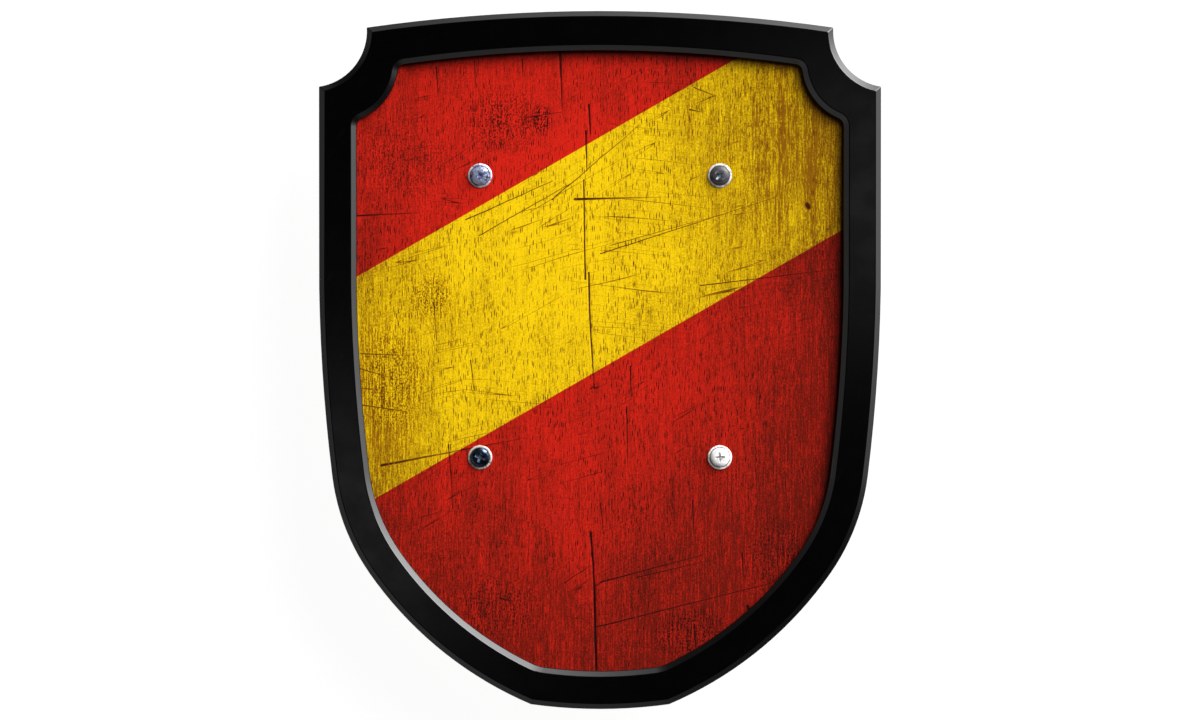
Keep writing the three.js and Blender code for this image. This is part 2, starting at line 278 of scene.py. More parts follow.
# how much a normal leans up: at least so for a level face, at most so for an upright one; and how
# much it leans a given way when it points just that way
LEVEL = 0.9
UPRIGHT = 0.1
SQUARE_ON = 0.999
STRIP_WIDTH = 0.66 * MM
STRIP_LENGTH = 2.2 * MM
LEAST_GROOVE = 1.1 * STRIP_WIDTH
GRAIN_DEPTH = 0.07 * MM
GRAIN_ACROSS = 420.0
GRAIN_ALONG = 9.0
EASED_BACK = 0.5 * MM

# Splits up the grain and scratches across it, in millimetres from the shield's middle: start, end,
# width, depth, and how much of its strength the mark loses on the way.
marks = [
    # the long split beside the middle, in five lengths
    ((-8.9, 98), (-7.8, 44), 0.6, 0.25, 0),
    ((-6.2, 47.6), (-4.2, -0.3), 0.6, 0.25, 0),
    ((-4.2, -0.3), (-2.4, -25.3), 0.55, 0.2, 0.6),
    ((-5.4, -93.6), (-3.4, -121.5), 0.75, 0.4, 0),
    ((-3.4, -121.5), (-2.3, -168.5), 1.05, 0.55, 0),
    # splits in from the top
    ((-22, 168), (-20.6, 134.5), 0.95, 0.4, 0.6),
    ((-6.2, 139), (-5.4, 123.4), 0.8, 0.3, 0.3),
    ((-7.9, 124.7), (-7.2, 103), 0.7, 0.3, 0.3),
    ((-89, 159.5), (-88.3, 144), 0.5, 0.15, 0.4),
    ((-68.2, 163), (-67.6, 146), 0.45, 0.15, 0.5),
    ((-42.5, 163.9), (-42.2, 157), 0.55, 0.15, 0.3),
    # deep scratches across the yellow and the red
    ((-13.8, 87.6), (44, 89), 1.05, 0.3, 0.85),
    ((-132.4, 78.6), (-98, 80.2), 0.65, 0.2, 0.5),
    ((-118.8, -57.4), (-75.3, -49), 1.1, 0.3, 0.5),
    ((-75.3, -49), (-37.7, -41.9), 0.55, 0.15, 0.6),
    ((49, 136.4), (55.4, 135), 0.65, 0.15, 0.5),
    ((50.9, 148.5), (62.5, 144), 0.45, 0.1, 0.3),
    ((62.5, 144), (50.9, 139.1), 0.4, 0.1, 0.5),
    # light scratches
    ((54.7, 40.5), (130.9, 49.8), 0.45, 0.15, 0.3),
    ((0.3, 57.9), (98.2, 89.5), 0.42, 0.1, 0.4),
    ((6, 62.5), (70, 80.5), 0.35, 0.1, 0.6),
    ((0.3, -121), (56.1, -106.2), 0.6, 0.2, 0.3),
    ((20, -118.4), (63, -108.5), 0.45, 0.15, 0.4),
    ((-1.6, -145.4), (102.1, -119.3), 0.55, 0.2, 0.3),
    ((-73.1, 76.4), (-25.8, 97.6), 0.45, 0.1, 0.3),
    ((-66, 67.7), (-15.4, 96.5), 0.4, 0.1, 0.3),
    ((-26.3, 87.3), (21.5, 128.1), 0.42, 0.1, 0.4),
    ((-38.3, 132.3), (-21.1, 135), 0.45, 0.1, 0.4),
    ((-130.3, 3.4), (-103.2, 2.5), 0.4, 0.1, 0.4),
    ((-130.3, -4.7), (-115.8, -9.2), 0.45, 0.1, 0.4),
    ((-129.4, -24.5), (-105, -28.2), 0.5, 0.15, 0.3),
    ((-19.6, -121.5), (-5.2, -112), 0.4, 0.1, 0.3),
    # short splits
    ((-82.9, -46), (-80.2, -80), 0.55, 0.2, 0.5),
    ((-90.2, 31.3), (-88.9, 12.2), 0.55, 0.2, 0.5),
    ((-70.7, -0.2), (-68.9, -15.6), 0.5, 0.15, 0.4),
    ((17, -3.5), (17.5, -19.9), 0.65, 0.2, 0.4),
    ((15, -25.3), (15.4, -58.5), 0.5, 0.2, 0.4),
    ((0.2, -78), (1.6, -94.5), 0.5, 0.15, 0.4),
    ((50.3, -76.4), (51.5, -97.1), 0.65, 0.2, 0.4),
    ((77.3, -105.2), (78.4, -119.9), 0.7, 0.2, 0.4),
    ((51.2, -144.1), (51.8, -157.5), 0.7, 0.2, 0.3),
    ((-54.6, -129.8), (-47.9, -131.4), 0.8, 0.2, 0.3),
    # knots
    ((113, 84.6), (113.9, 83.4), 2.5, 0.3, 0),
    ((80.5, -134.1), (80.6, -135.3), 1.4, 0.2, 0),
]

DOWN = Vector((0, 0, -1))
board_low, board_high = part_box("board")
field_z = board_high.z


def merged_node(name):
    """A bmesh of a CAD node, with its loose triangles joined into whole flat faces."""
    bm = bmesh.new()
    bm.from_mesh(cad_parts[name].data)
    bmesh.ops.remove_doubles(bm, verts=bm.verts, dist=SAME_PLACE)
    bmesh.ops.dissolve_limit(bm, angle_limit=SAME_WAY, verts=bm.verts, edges=bm.edges)
    return bm


def finish_piece(bm, name, materials, slot, *replaced, smooth_angle=40, flat_ways=()):
    """Makes the bmesh an object on the shield's one body, standing for the CAD nodes it replaces.

    It is shaded smooth up to smooth_angle, except the faces that look one of the flat_ways.
    """
    mesh = bpy.data.meshes.new(name)
    bm.to_mesh(mesh)
    bm.free()
    if "custom_normal" in mesh.attributes:
        mesh.attributes.remove(mesh.attributes["custom_normal"])
    mesh.shade_smooth()
    mesh.set_sharp_from_angle(angle=math.radians(smooth_angle))
    for polygon in mesh.polygons:
        if any(polygon.normal.dot(way) > SQUARE_ON for way in flat_ways):
            polygon.use_smooth = False
    for material in materials:
        mesh.materials.append(material)
    piece = bpy.data.objects.new(name, mesh)
    bpy.context.scene.collection.objects.link(piece)
    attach(piece, "root")
    if replaced:
        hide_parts(*replaced)
    return piece


def front_faces(bm):
    """The faces that look forward."""
    return [f for f in bm.faces if f.normal.z > LEVEL]


def slit(bm, faces, point, normal):
    """Cuts faces along a plane and gives back the faces of both its sides."""
    edges = {e for f in faces for e in f.edges}
    corners = {v for f in faces for v in f.verts}
    geom = [*corners, *edges, *faces]
    cut = bmesh.ops.bisect_plane(bm, geom=geom, plane_co=point, plane_no=normal)["geom"]
    return [f for f in cut if isinstance(f, bmesh.types.BMFace)]


def groove_depth(x, y):
    """How deep the marks cut at a place."""
    deepest = 0.0
    for start, end, width, depth, fading in marks:
        reach = max(width * MM, LEAST_GROOVE)
        ends_x = (start[0] * MM, end[0] * MM)
        ends_y = (start[1] * MM, end[1] * MM)
        beside = x < min(ends_x) - reach or x > max(ends_x) + reach
        if beside or y < min(ends_y) - reach or y > max(ends_y) + reach:
            continue
        line = Vector((ends_x[1] - ends_x[0], ends_y[1] - ends_y[0]))
        offset = Vector((x - ends_x[0], y - ends_y[0]))
        share = min(max(offset.dot(line) / line.length_squared, 0.0), 1.0)
        away = (offset - line * share).length
        if away < reach:
            deepest = max(deepest, depth * MM * (1 - fading * share) * (1 - away / reach))
    return deepest


bm = merged_node("board")
back_edges = [
    e for e in bm.edges
    if len(e.link_faces) == 2
    and min(f.normal.z for f in e.link_faces) < -LEVEL < max(f.normal.z for f in e.link_faces)
]
bmesh.ops.bevel(
    bm, geom=back_edges, offset=EASED_BACK, segments=2, profile=0.5, affect="EDGES", material=-1,
)
bm.normal_update()
y = board_low.y + STRIP_LENGTH
while y < board_high.y:
    slit(bm, front_faces(bm), (0, y, 0), (0, 1, 0))
    y += STRIP_LENGTH
ahead = front_faces(bm)
x = board_low.x + STRIP_WIDTH
while x < board_high.x:
    ahead = [f for f in slit(bm, ahead, (x, 0, 0), (1, 0, 0)) if f.calc_center_bounds().x > x]
    x += STRIP_WIDTH
bm.normal_update()

FRONT, BACK, EDGE = 0, 1, 2
for f in bm.faces:
    f.material_index = FRONT if f.normal.z > LEVEL else BACK if f.normal.z < -0.5 else EDGE

# A painted shadow of the rim lies on the print, up and to the right. An attribute keeps how much,
# from 0 to 1, from how near the rim's inner wall is and how far it faces away from the lamp.
SHADE_REACH = 11 * MM
SHADE_GAIN = 1.4
SHADE_FALL = 1.6
wall_bm = merged_node("rim")
outer_faces = [
    f for f in wall_bm.faces
    if abs(f.normal.z) > UPRIGHT or f.normal.dot(f.calc_center_median() * Vector((1, 1, 0))) > 0
]
bmesh.ops.delete(wall_bm, geom=outer_faces, context="FACES")
inner_wall = BVHTree.FromBMesh(wall_bm)
wall_bm.free()
lamp_side = Vector((lamp_way.x, lamp_way.y, 0)).normalized()
shade = bm.verts.layers.float.new("shade")
for v in {v for f in front_faces(bm) for v in f.verts}:
    _, wall_normal, _, distance = inner_wall.find_nearest((v.co.x, v.co.y, field_z + 1 * MM))
    facing_away = min(max(-SHADE_GAIN * wall_normal.dot(lamp_side), 0.0), 1.0)
    v[shade] = facing_away * max(1 - distance / SHADE_REACH, 0.0) ** SHADE_FALL
    if all(f.normal.z > LEVEL for f in v.link_faces):
        raised = noise.noise((v.co.x * GRAIN_ACROSS, v.co.y * GRAIN_ALONG, 0.0))
        v.co.z -= GRAIN_DEPTH * (0.5 + 0.5 * raised) + groove_depth(v.co.x, v.co.y)


def bumped(tree, shader, height, strength, depth):
    """Gives a finish its fine relief, from a height that changes over it."""
    bump = place(tree, "ShaderNodeBump", {"Height": height, "Strength": strength, "Distance": depth})
    feed(shader, "Normal", bump.outputs[0])


def point(tree, x, y=0.0):
    """A place on the board's plane, from its X and Y."""
    return place(tree, "ShaderNodeCombineXYZ", {0: x, 1: y}).outputs[0]


# wood: open pores, fine fibres and broad streaks, all running up the grain along Y
wood, given, result = new_group(
    "wood grain", {"Place": (0, 0, 0), "Pore Size": (1, 1, 1), "Crowding": 0.5},
    ["Pores", "Fibres", "Streaks"],
)
bend = mottled(wood, given["Place"], (70, 16, 1), detail=3)
bent = vector(wood, "ADD", given["Place"], point(wood, times(wood, bend, 3.0 * MM)))
in_pores = vector(wood, "DIVIDE", bent, given["Pore Size"])
cells = place(
    wood, "ShaderNodeTexVoronoi", {"Vector": in_pores, "Scale": 1.0}, voronoi_dimensions="2D",
).outputs
pick = place(wood, "ShaderNodeSeparateColor", {0: cells["Color"]}).outputs
gone = minus(wood, 1.0, given["Crowding"])
present = calc(wood, "GREATER_THAN", pick[0], gone)
pore = times(wood, fade(wood, cells["Distance"], 0.31, 0.18), present)
pore = times(wood, pore, fade(wood, pick[1], 0.0, 1.0, 0.5, 1.0))
wood.links.new(pore, result["Pores"])
long_fibres = mottled(wood, bent, (1150, 34, 1), detail=3, roughness=0.6)
short_fibres = mottled(wood, bent, (1300, 150, 1), detail=2, roughness=0.6, shift=(9, 4, 0))
fibres = times(wood, plus(wood, long_fibres, short_fibres), 0.5)
wood.links.new(fibres, result["Fibres"])
streaks = mottled(wood, bent, (210, 5, 1), detail=5, roughness=0.65, shift=(4, 2, 0))
wood.links.new(streaks, result["Streaks"])

# hairlines: thin scratches that all run about one way, turned by Angle from X
hairlines, given, result = new_group(
    "hairlines", {"Place": (0, 0, 0), "Angle": 0.0, "Stretch": (1, 1, 1), "Width": 0.01}, ["Lines"]
)
turned_place = place(
    hairlines, "ShaderNodeVectorRotate",
    {"Vector": given["Place"], "Angle": times(hairlines, given["Angle"], -1.0)},
    rotation_type="Z_AXIS",
).outputs[0]
level = mottled(hairlines, turned_place, given["Stretch"], detail=0.7)
off_level = calc(hairlines, "ABSOLUTE", minus(hairlines, level, 0.5))
hairlines.links.new(fade(hairlines, off_level, given["Width"], 0.0), result["Lines"])

# scratch: a line from one point to another, which thins and weakens on the way
scratch, given, result = new_group(
    "scratch", {"Place": (0, 0, 0), "Start": (0, 0, 0), "End": (1, 0, 0), "Width": 0.5 * MM, "Fading": 0.0},
    ["Mark"],
)
line = vector(scratch, "SUBTRACT", given["End"], given["Start"])
offset = vector(scratch, "SUBTRACT", given["Place"], given["Start"])
length_squared = vector(scratch, "DOT_PRODUCT", line, line, out="Value")
along_line = vector(scratch, "DOT_PRODUCT", offset, line, out="Value")
share = calc(scratch, "DIVIDE", along_line, length_squared, clamp=True)
nearest = vector(scratch, "SCALE", line, Scale=share)
away = vector(scratch, "DISTANCE", offset, nearest, out="Value")
left_of_it = minus(scratch, 1.0, times(scratch, given["Fading"], share))
half_width = times(scratch, given["Width"], left_of_it)
core = times(scratch, half_width, 0.3)
drawn = times(scratch, fade(scratch, away, half_width, core), left_of_it)
scratch.links.new(drawn, result["Mark"])

# smudge: a soft oval patch
smudge, given, result = new_group(
    "smudge", {"Place": (0, 0, 0), "Centre": (0, 0, 0), "Size": (1, 1, 1), "Strength": 1.0}, ["Patch"]
)
offset = vector(smudge, "SUBTRACT", given["Place"], given["Centre"])
offset = vector(smudge, "DIVIDE", offset, given["Size"])
patch = fade(smudge, vector(smudge, "LENGTH", offset, out="Value"), 1.0, 0.15)
smudge.links.new(times(smudge, patch, given["Strength"]), result["Patch"])

# The print: it dulls towards the edges, and its pores, splits, scratches and stains hold dark dirt.
BAND_SLOPE = math.radians(29.9)
BAND_MIDDLE = 50.5 * MM
BAND_HALF = 54.8 * MM
BAND_EDGE = 0.12 * MM
RED = (0.6, 0.013, 0.005, 1)
RED_DULL = (0.105, 0.0055, 0.0018, 1)
RED_DIRTY = (0.17, 0.0062, 0.0022, 1)
RED_DARK = (0.016, 0.0016, 0.0008, 1)
YELLOW = (0.86, 0.565, 0.0018, 1)
YELLOW_DULL = (0.2, 0.08, 0.001, 1)
YELLOW_DIRTY = (0.3, 0.112, 0.0008, 1)
YELLOW_DARK = (0.042, 0.0095, 0.0004, 1)
BRIGHTEST_PLACE = (-27 * MM, 68 * MM)
DULL_REACH = (168 * MM, 245 * MM)
LEAST_DULL = 0.10

# Stains of dark specks, in millimetres: centre, size and strength.
stains = [
    ((-32, 131), (9, 12), 1.3),
    ((-54, 130), (34, 28), 0.8),
    ((-108, 108), (50, 40), 0.55),
    ((-116, -14), (32, 56), 0.8),
    ((-92, 34), (18, 20), 0.8),
    ((50, -150), (40, 30), 1.1),
    ((98, -108), (38, 50), 0.95),
    ((122, -30), (24, 70), 0.35),
    ((-60, -138), (62, 38), 0.8),
]
# Brown streaks up the grain: the same.
brown_places = [
    ((104, 112), (40, 78), 1),
    ((126, 84), (24, 60), 0.9),
    ((-120, -20), (22, 46), 0.55),
    ((54, 132), (12, 22), 0.55),
]

paint, tree, shader, coords = new_finish("old red and yellow print")
across_x, along_y, _ = place(tree, "ShaderNodeSeparateXYZ", {0: coords}).outputs
grain = grouped(tree, wood, {"Place": coords, "Pore Size": (0.9 * MM, 6.6 * MM, 1), "Crowding": 0.42})
wander = mottled(tree, coords, (90, 14, 1), detail=4, roughness=0.65)
wander = times(tree, minus(tree, wander, 0.5), 3.0 * MM)
flat_place = point(tree, plus(tree, across_x, wander), along_y)


def patches(places):
    """The strongest of several smudges."""
    strongest = 0.0
    for centre, size, strength in places:
        values = {"Place": flat_place, "Centre": (*Vector(centre) * MM, 0), "Size": (*Vector(size) * MM, 1)}
        patch = grouped(tree, smudge, {**values, "Strength": strength})[0]
        strongest = calc(tree, "MAXIMUM", patch, strongest)
    return strongest


# how dull the colour is, from 0 to 1
off_centre = [
    calc(tree, "DIVIDE", minus(tree, side, middle), reach)
    for side, middle, reach in zip((across_x, along_y), BRIGHTEST_PLACE, DULL_REACH)
]
oval = plus(tree, calc(tree, "POWER", off_centre[0], 2.0), calc(tree, "POWER", off_centre[1], 2.0))
edge_dull = fade(tree, calc(tree, "SQRT", oval), 0.05, 1.32, 0.0, 0.95)
fibre_strength = plus(tree, times(tree, edge_dull, 1.3), 1.7)
cloudy = mottled(tree, coords, (30, 15, 1), detail=5, roughness=0.65, shift=(2, 9, 0))
speckle = mottled(tree, coords, (1350, 820, 1), detail=2, roughness=0.7)
brown = times(tree, patches(brown_places), fade(tree, grain["Streaks"], 0.36, 0.66))
brown = times(tree, brown, fade(tree, grain["Fibres"], 0.42, 0.58, 0.15, 1.0))
dull = plus(tree, edge_dull, LEAST_DULL)
wears = ((grain["Fibres"], fibre_strength), (cloudy, 1.0), (grain["Streaks"], 0.45), (speckle, 1.7))
for wear, amount in wears:
    change = times(tree, minus(tree, wear, 0.5), amount)
    dull = plus(tree, dull, change)
dull = calc(tree, "ADD", dull, times(tree, brown, 0.55), clamp=True)

# how much dark dirt lies on it, from 0 to 1
dirt = 0.0
for start, end, width, _, fading in marks:
    values = {"Place": flat_place, "Start": (*Vector(start) * MM, 0), "End": (*Vector(end) * MM, 0)}
    values |= {"Width": width * MM, "Fading": fading}
    dirt = calc(tree, "MAXIMUM", grouped(tree, scratch, values)[0], dirt)
dirt = times(tree, dirt, fade(tree, mottled(tree, coords, (900, 260, 1)), 0.32, 0.5, 0.65, 1.0))
pore_patches = fade(tree, mottled(tree, coords, (24, 9, 1), shift=(5, 1, 0)), 0.34, 0.62, 0.5, 1.0)
dirt = calc(tree, "MAXIMUM", dirt, times(tree, grain["Pores"], pore_patches))
blotches = times(tree, plus(tree, speckle, grain["Fibres"]), 0.5)
specks = fade(tree, blotches, 0.46, 0.58)
dirt = calc(tree, "MAXIMUM", dirt, times(tree, patches(stains), specks))
soaked = times(tree, brown, fade(tree, blotches, 0.44, 0.58, 0.1, 0.8))
dirt = calc(tree, "MAXIMUM", dirt, soaked)
for angle, shift in ((14, 0.0), (31, 0.4), (-6, 0.8)):
    values = {"Place": coords, "Angle": math.radians(angle), "Stretch": (5, 170, 1), "Width": 0.006}
    lines = grouped(tree, hairlines, values)[0]
    where = fade(tree, mottled(tree, coords, (16, 13, 1), shift=(7, shift * 20, 0)), 0.47, 0.60, 0.0, 0.75)
    dirt = calc(tree, "MAXIMUM", dirt, times(tree, lines, where))

band_across = times(tree, along_y, math.cos(BAND_SLOPE))
band_across = minus(tree, band_across, times(tree, across_x, math.sin(BAND_SLOPE)))
from_middle = calc(tree, "ABSOLUTE", minus(tree, band_across, BAND_MIDDLE))
band = fade(tree, from_middle, BAND_HALF + BAND_EDGE, BAND_HALF - BAND_EDGE)
colour = tint(tree, dull, tint(tree, band, RED, YELLOW), tint(tree, band, RED_DULL, YELLOW_DULL))
colour = tint(tree, fade(tree, dirt, 0.0, 0.6), colour, tint(tree, band, RED_DIRTY, YELLOW_DIRTY))
darkest = tint(tree, band, RED_DARK, YELLOW_DARK)
colour = tint(tree, fade(tree, dirt, 0.25, 1.0), colour, darkest)
# the painted shadow of the rim: the print is darkened beside it, in the dirt's darkest colour
shaded = place(tree, "ShaderNodeAttribute", attribute_name="shade").outputs["Fac"]
colour = tint(tree, fade(tree, shaded, 0.0, 1.0, 0.0, 0.9), colour, darkest)
feed(shader, "Base Color", colour)
feed(shader, "Roughness", fade(tree, speckle, 0.35, 0.65, 0.62, 0.8))
shader.inputs["Specular IOR Level"].default_value = 0.06
relief = minus(tree, times(tree, grain["Fibres"], 0.8), grain["Pores"])
bumped(tree, shader, relief, 0.45, 0.1 * MM)

# The bare birch of the back: pale veneer with brown fibres, and grey where arms have rubbed it.
BIRCH = (0.6, 0.41, 0.225, 1)
BIRCH_DARK = (0.36, 0.205, 0.095, 1)
BIRCH_PORE = (0.16, 0.08, 0.036, 1)
RUBBED = (0.3, 0.22, 0.15, 1)
birch, tree, shader, coords = new_finish("bare birch veneer")
grain = grouped(tree, wood, {"Place": coords, "Pore Size": (0.9 * MM, 5.0 * MM, 1), "Crowding": 0.45})
colour = tint(tree, fade(tree, grain["Streaks"], 0.36, 0.66), BIRCH, BIRCH_DARK)
colour = tint(tree, fade(tree, grain["Fibres"], 0.48, 0.68, 0.0, 0.5), colour, BIRCH_DARK)
colour = tint(tree, times(tree, grain["Pores"], 0.7), colour, BIRCH_PORE)
rubbed = mottled(tree, coords, (22, 18, 1), detail=5, roughness=0.6, shift=(1, 6, 0))
colour = tint(tree, fade(tree, rubbed, 0.50, 0.68, 0.0, 0.5), colour, RUBBED)
feed(shader, "Base Color", colour)
feed(shader, "Roughness", fade(tree, rubbed, 0.4, 0.65, 0.72, 0.52))
shader.inputs["Specular IOR Level"].default_value = 0.3
relief = minus(tree, grain["Fibres"], grain["Pores"])
bumped(tree, shader, relief, 0.4, 0.1 * MM)

# The sawn edge: five plies, by turns along and across the grain, with dark glue between them.
PLY = (board_high.z - board_low.z) / 5
PLY_LONG = (0.52, 0.35, 0.19, 1)
PLY_END = (0.27, 0.155, 0.07, 1)
PLY_GLUE = (0.07, 0.036, 0.018, 1)
plies, tree, shader, coords = new_finish("sawn plywood edge")
height = place(tree, "ShaderNodeSeparateXYZ", {0: coords}).outputs["Z"]
turns = times(tree, minus(tree, height, board_low.z), math.pi / PLY)
waver = mottled(tree, coords, (120, 120, 300), detail=3)
turns = plus(tree, turns, times(tree, minus(tree, waver, 0.5), 1.1))
turns = calc(tree, "SINE", turns)
end_grain = mottled(tree, coords, (2200, 2200, 2200), detail=2, roughness=0.7)
long_grain = mottled(tree, coords, (160, 160, 4200), detail=3, roughness=0.6)
long_ply = tint(tree, fade(tree, long_grain, 0.35, 0.68, 0.0, 0.6), PLY_LONG, PLY_END)
end_ply = tint(tree, fade(tree, end_grain, 0.42, 0.62), PLY_END, PLY_GLUE)
colour = tint(tree, fade(tree, turns, 0.12, -0.12), long_ply, end_ply)
glue = fade(tree, calc(tree, "ABSOLUTE", turns), 0.30, 0.12, 0.0, 0.85)
feed(shader, "Base Color", tint(tree, glue, colour, PLY_GLUE))
feed(shader, "Roughness", fade(tree, end_grain, 0.35, 0.65, 0.62, 0.85))
shader.inputs["Specular IOR Level"].default_value = 0.25
bumped(tree, shader, end_grain, 0.35, 0.1 * MM)

finish_piece(bm, "painted_board", [paint, birch, plies], "painted_board", "board", flat_ways=(DOWN,))


# ---------------------------------------------------------------- the rim
# A flat frame of five-millimetre board, chamfered along both front edges, sprayed gloss black and
# glued round the board's front. Sanding has eased its edges, so each chamfer ends in a soft line.

EASED_RIM = 0.45 * MM
SHORTEST_EDGE = 0.4 * MM
RIM_CORNER = math.radians(28)
BLACK = (0.0006, 0.0006, 0.0009, 1)
BLACK_WORN = (0.003, 0.003, 0.0036, 1)

lacquer, tree, shader, coords = new_finish("gloss black lacquer")
values = {"Place": coords, "Angle": math.radians(62), "Stretch": (30, 420, 30), "Width": 0.004}
wiped = grouped(tree, hairlines, values)[0]
feed(shader, "Base Color", tint(tree, wiped, BLACK, BLACK_WORN))
film = mottled(tree, coords, (70, 70, 70), detail=3)
feed(shader, "Roughness", fade(tree, film, 0.3, 0.7, 0.105, 0.130))
peel = mottled(tree, coords, (620, 620, 620), detail=1)
bumped(tree, shader, peel, 0.05, 0.03 * MM)

bm = merged_node("rim")
bmesh.ops.remove_doubles(bm, verts=bm.verts, dist=SHORTEST_EDGE)
bmesh.ops.dissolve_limit(bm, angle_limit=SAME_WAY, verts=bm.verts, edges=bm.edges)
sharp = [e for e in bm.edges if len(e.link_faces) == 2 and e.calc_face_angle() > RIM_CORNER]
bmesh.ops.bevel(
    bm, geom=sharp, offset=EASED_RIM, segments=3, profile=0.5, affect="EDGES", material=-1,
    clamp_overlap=True,
)
rim_piece = finish_piece(bm, "black_rim", [lacquer], "black_rim", "rim", smooth_angle=32)
evened = rim_piece.modifiers.new("even shading", "WEIGHTED_NORMAL")
evened.keep_sharp = True


# ---------------------------------------------------------------- the screws
# M6 machine screws with a flanged pan head and a cross recess, turned from steel and zinc plated.
# They pass through the board from its front. Each head has worn its own way, and its colours also
# hold painted highlights. The sizes here and in the sections below are in millimetres.

HEAD_HEIGHT = 2.9
# half the head's section, from the flange's underside up to near the axis: radius and height
head_profile = [
    (5.90, 0.00), (6.45, 0.08), (6.60, 0.30), (6.55, 0.52), (6.30, 0.70), (5.80, 0.80), (5.55, 0.84),
    (5.45, 1.05), (5.20, 1.50), (4.75, 1.98), (4.05, 2.38), (3.20, 2.66), (2.20, 2.82), (1.10, 2.88),
]
FLANGE_INSIDE = 5.6
JOINT_INSIDE = 5.15
SHANK_RADIUS = 3.0
SHANK_LENGTH = 16.0
SHANK_CHAMFER = 0.5
RECESS_LENGTH = 6.2
RECESS_WIDTH = 1.4
RECESS_DEPTH = 2.2
RECESS_TAPER = (3.8, 0.5)
RECESS_TOP = 2.3
HEAD_TOP_LEAN = 0.7
CUTTER_OVER = 0.2
ROUND_STEPS = 64
NO_LENGTH = 0.001 * MM


def spun(profile):
    """A closed solid spun round the Z axis from radii and heights in millimetres."""
    bm = bmesh.new()
    corners = [bm.verts.new((radius * MM, 0, height * MM)) for radius, height in profile]
    edges = [bm.edges.new(pair) for pair in zip(corners, corners[1:])]
    bmesh.ops.spin(
        bm, geom=[*corners, *edges], axis=(0, 0, 1), cent=(0, 0, 0), steps=ROUND_STEPS,
        angle=2 * math.pi, use_merge=True,
    )
    bmesh.ops.remove_doubles(bm, verts=bm.verts, dist=NO_LENGTH)
    bmesh.ops.recalc_face_normals(bm, faces=bm.faces)
    return bm


def cut_away(solid, cutter):
    """The first solid with the second cut out of it, as a new bmesh."""
    pieces = []
    for bm in (solid, cutter):
        mesh = bpy.data.meshes.new("blank")
        bm.to_mesh(mesh)
        bm.free()
        pieces.append(bpy.data.objects.new("blank", mesh))
        bpy.context.scene.collection.objects.link(pieces[-1])
    cut = pieces[0].modifiers.new("cut", "BOOLEAN")
    cut.operation, cut.solver, cut.object = "DIFFERENCE", "EXACT", pieces[1]
    bpy.context.view_layer.update()
    carved = bmesh.new()
    carved.from_mesh(pieces[0].evaluated_get(bpy.context.evaluated_depsgraph_get()).to_mesh())
    for piece in pieces:
        mesh = piece.data
        bpy.data.objects.remove(piece)
        bpy.data.meshes.remove(mesh)
    return carved


# tarnish: dark swirls, and fine scuffs over them
tarnish, given, result = new_group(
    "tarnish", {"Place": (0, 0, 0), "Shift": (0, 0, 0)}, ["Swirls", "Scuffs"],
)
stir = mottled(tarnish, given["Place"], (260, 260, 260), shift=given["Shift"])
stirred = point(tarnish, times(tarnish, stir, 7 * MM), times(tarnish, stir, -5 * MM))
stirred = vector(tarnish, "ADD", given["Place"], stirred)
swirl = mottled(tarnish, stirred, (420, 420, 420), detail=4, roughness=0.6, shift=given["Shift"])
tarnish.links.new(fade(tarnish, swirl, 0.47, 0.60), result["Swirls"])
tarnish.links.new(mottled(tarnish, given["Place"], (2600, 700, 900), detail=3), result["Scuffs"])


def zinc(name, bright, dark, metallic, roughness, shift=0.0):
    """Zinc plate of its own brightness, with tarnish in dark swirls and fine scuffs."""
    material, tree, shader, coords = new_finish(name)
    values = {"Place": coords, "Shift": (shift, 2 * shift, 0)}
    worn = grouped(tree, tarnish, values)
    feed(shader, "Base Color", tint(tree, worn["Swirls"], bright, dark))
    amount = fade(tree, worn["Scuffs"], 0.35, 0.65, roughness * 0.8, roughness * 1.25)
    feed(shader, "Roughness", amount)
    shader.inputs["Metallic"].default_value = metallic
    bumped(tree, shader, worn["Scuffs"], 0.2, 0.03 * MM)
    return material


HEAD, FLANGE, RECESS, JOINT = 0, 1, 2, 3
HEAD_PARTS = ("head", "flange", "recess")
joint_grime = zinc("grimy joint", (0.03, 0.032, 0.042, 1), (0.01, 0.01, 0.014, 1), 0.2, 0.6, shift=2.7)
